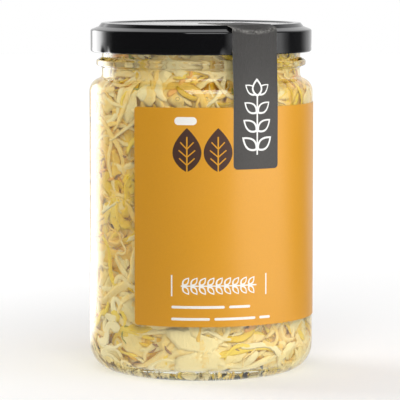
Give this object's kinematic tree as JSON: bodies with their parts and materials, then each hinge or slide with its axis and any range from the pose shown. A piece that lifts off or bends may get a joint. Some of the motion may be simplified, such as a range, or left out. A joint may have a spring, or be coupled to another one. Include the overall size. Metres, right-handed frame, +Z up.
{
  "type": "jar of sauerkraut",
  "caption": "Round glass jar of sauerkraut with a black metal lid, a wide orange paper label and a grey paper seal strip over the lid's edge.",
  "frame": {"origin": "centre of the jar's foot, on the surface that it stands on", "axes": "+Z up along the jar's axis, -Y the front that the label's print faces, +X to the right as seen from the front"},
  "size_m": [0.0869, 0.087, 0.1347],
  "materials": {
    "glass": "polished",
    "lid_lacquer": "gloss",
    "label_paper": "satin",
    "seal_paper": "matte",
    "sauerkraut": "satin"
  },
  "bodies": {
    "root": {"glass_jar": "glass", "lid": "lid_lacquer", "label": "label_paper", "seal_strip": "seal_paper", "sauerkraut": "sauerkraut"}
  },
  "joints": []
}
